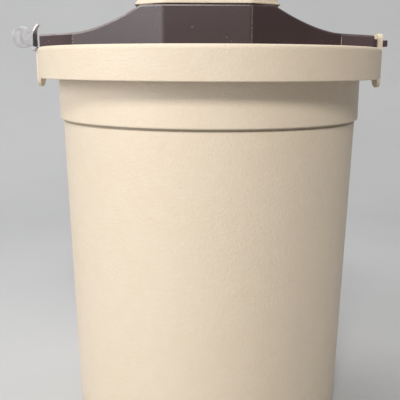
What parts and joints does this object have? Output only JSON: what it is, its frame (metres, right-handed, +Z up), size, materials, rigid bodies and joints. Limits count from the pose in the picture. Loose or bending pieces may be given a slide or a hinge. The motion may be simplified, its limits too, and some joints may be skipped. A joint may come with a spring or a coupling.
{
  "type": "electric bucket ice cream freezer",
  "caption": "Moulded tub for ice and salt round a metal can, with a geared motor head bridging the rim, tabbed at one end and held by a latch at the other.",
  "frame": {"origin": "centre of the flat pad under the tub, on the tub's axis", "axes": "+Z up along the tub's axis, -Y to the front, -X to the latch and +X to the tab of the motor head"},
  "size_m": [0.2992, 0.27, 0.3755],
  "materials": {
    "almond_plastic": "fine moulded grain",
    "brown_plastic": "fine moulded grain",
    "aluminium": "spun",
    "ivory_lid": "smooth",
    "ivory_plastic": "smooth",
    "nylon_gear": "natural",
    "zinc_steel": "zinc plated",
    "lamination_steel": "stacked sheets",
    "coil_copper": "enamelled wire",
    "bronze": "sintered",
    "black_rubber": "matte"
  },
  "bodies": {
    "tub": {"tub": "almond_plastic", "latch_bracket": "zinc_steel", "latch_pin": "zinc_steel", "bracket_rivet_1": "zinc_steel", "bracket_rivet_2": "zinc_steel", "dasher_frame": "ivory_plastic", "scraper_left": "ivory_plastic", "scraper_right": "ivory_plastic"},
    "can": {"canister": "aluminium", "canister_lid": "ivory_lid"},
    "head": {"gear_housing": "brown_plastic", "gear_case_plate": "brown_plastic", "plate_screw_1": "zinc_steel", "plate_screw_2": "zinc_steel", "plate_screw_3": "zinc_steel", "plate_screw_4": "zinc_steel", "motor_cover": "almond_plastic", "cover_screw_1": "zinc_steel", "cover_screw_2": "zinc_steel", "cord_gland": "black_rubber", "stator_core": "lamination_steel", "coil_bobbin": "ivory_plastic", "stator_coil": "coil_copper", "lower_bearing_bracket": "zinc_steel", "upper_bearing_bracket": "zinc_steel", "lower_bush": "bronze", "upper_bush": "bronze", "motor_bolt_1": "zinc_steel", "motor_bolt_2": "zinc_steel", "bolt_1_spacer_low": "zinc_steel", "bolt_1_spacer_middle": "zinc_steel", "bolt_1_spacer_top": "zinc_steel", "bolt_2_spacer_low": "zinc_steel", "bolt_2_spacer_middle": "zinc_steel", "bolt_2_spacer_top": "zinc_steel", "second_gear_pin": "zinc_steel", "first_gear_pin": "zinc_steel"},
    "output": {"output_gear": "nylon_gear"},
    "second": {"second_gear": "nylon_gear"},
    "first": {"first_gear": "nylon_gear"},
    "rotor": {"rotor": "lamination_steel", "rotor_shaft": "zinc_steel", "motor_pinion": "bronze", "cooling_fan": "aluminium"},
    "latch": {"latch_lever": "zinc_steel"}
  },
  "joints": [
    {"name": "can_spin", "type": "hinge", "parent": "tub", "child": "can", "pos_m": [0, 0, 0], "axis": [0, 0, 1], "continuous": true},
    {"name": "head_tilt", "type": "hinge", "parent": "tub", "child": "head", "pos_m": [0.132, 0, 0.3069], "axis": [0, 1, 0], "range_deg": [0, 25]},
    {"name": "latch_turn", "type": "hinge", "parent": "tub", "child": "latch", "pos_m": [-0.1389, 0, 0.299], "axis": [0, 1, 0], "range_deg": [-90, 40]},
    {"name": "output_spin", "type": "hinge", "parent": "head", "child": "output", "pos_m": [0, 0, 0.308], "axis": [0, 0, 1], "continuous": true},
    {"name": "second_spin", "type": "hinge", "parent": "head", "child": "second", "pos_m": [0.04063, 0, 0.312], "axis": [0, 0, 1], "continuous": true},
    {"name": "first_spin", "type": "hinge", "parent": "head", "child": "first", "pos_m": [0.02576, 0.02254, 0.319], "axis": [0, 0, 1], "continuous": true},
    {"name": "rotor_spin", "type": "hinge", "parent": "head", "child": "rotor", "pos_m": [0.00913, 0.01294, 0.345], "axis": [0, 0, 1], "continuous": true}
  ],
  "couplings": [
    {"joint": "output_spin", "follows": "can_spin", "ratio": 1},
    {"joint": "second_spin", "follows": "can_spin", "ratio": -4},
    {"joint": "first_spin", "follows": "can_spin", "ratio": 14},
    {"joint": "rotor_spin", "follows": "can_spin", "ratio": -42}
  ]
}
